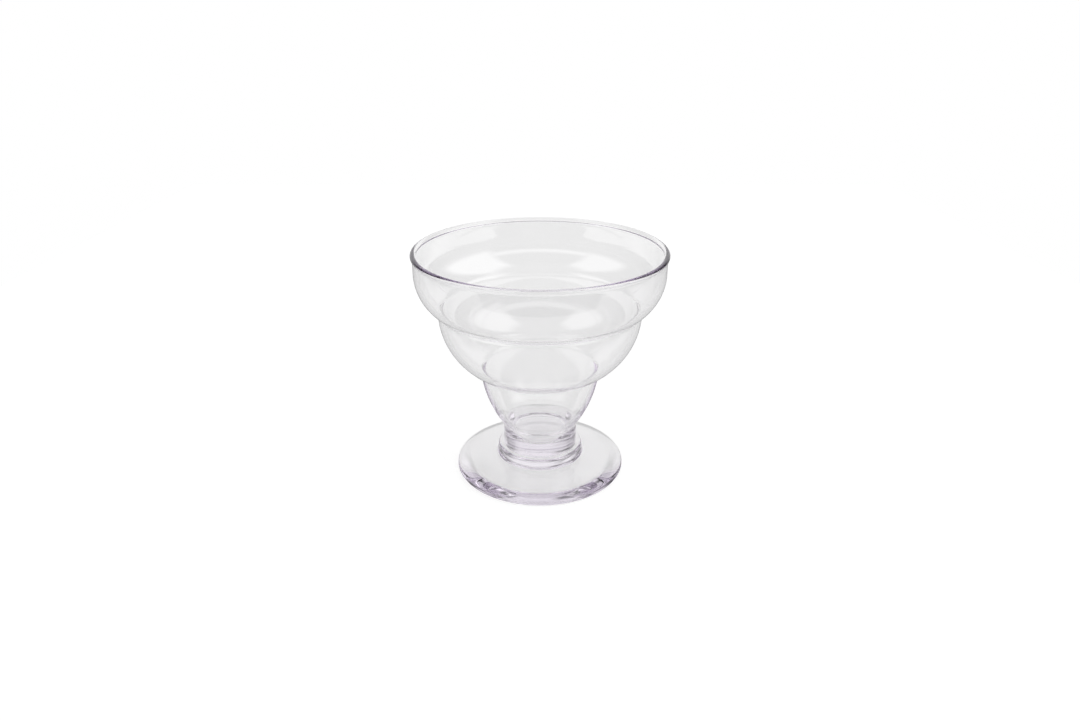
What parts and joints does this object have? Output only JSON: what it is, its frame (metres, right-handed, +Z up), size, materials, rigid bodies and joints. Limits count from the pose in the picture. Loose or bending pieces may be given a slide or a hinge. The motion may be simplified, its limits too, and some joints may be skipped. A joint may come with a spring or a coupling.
{
  "type": "parfait glass",
  "caption": "Clear moulded plastic dessert glass: a stepped, tiered bowl with a rolled lip, on a short solid stem bonded into a round, hollow-bottomed foot.",
  "frame": {"origin": "middle of the foot's underside, on the plane that the glass stands on", "axes": "+Z up along the axis of bowl, stem and foot; the shape is the same all round, so +X and +Y are free"},
  "size_m": [0.1052, 0.1052, 0.1],
  "materials": {
    "bowl": "clear polycarbonate, polished moulding with a faint violet tint",
    "foot": "clear polycarbonate, polished moulding with a faint violet tint",
    "bond": "clear cured adhesive film"
  },
  "bodies": {
    "root": {"bowl": "bowl", "foot": "foot", "bond": "bond"}
  },
  "joints": []
}
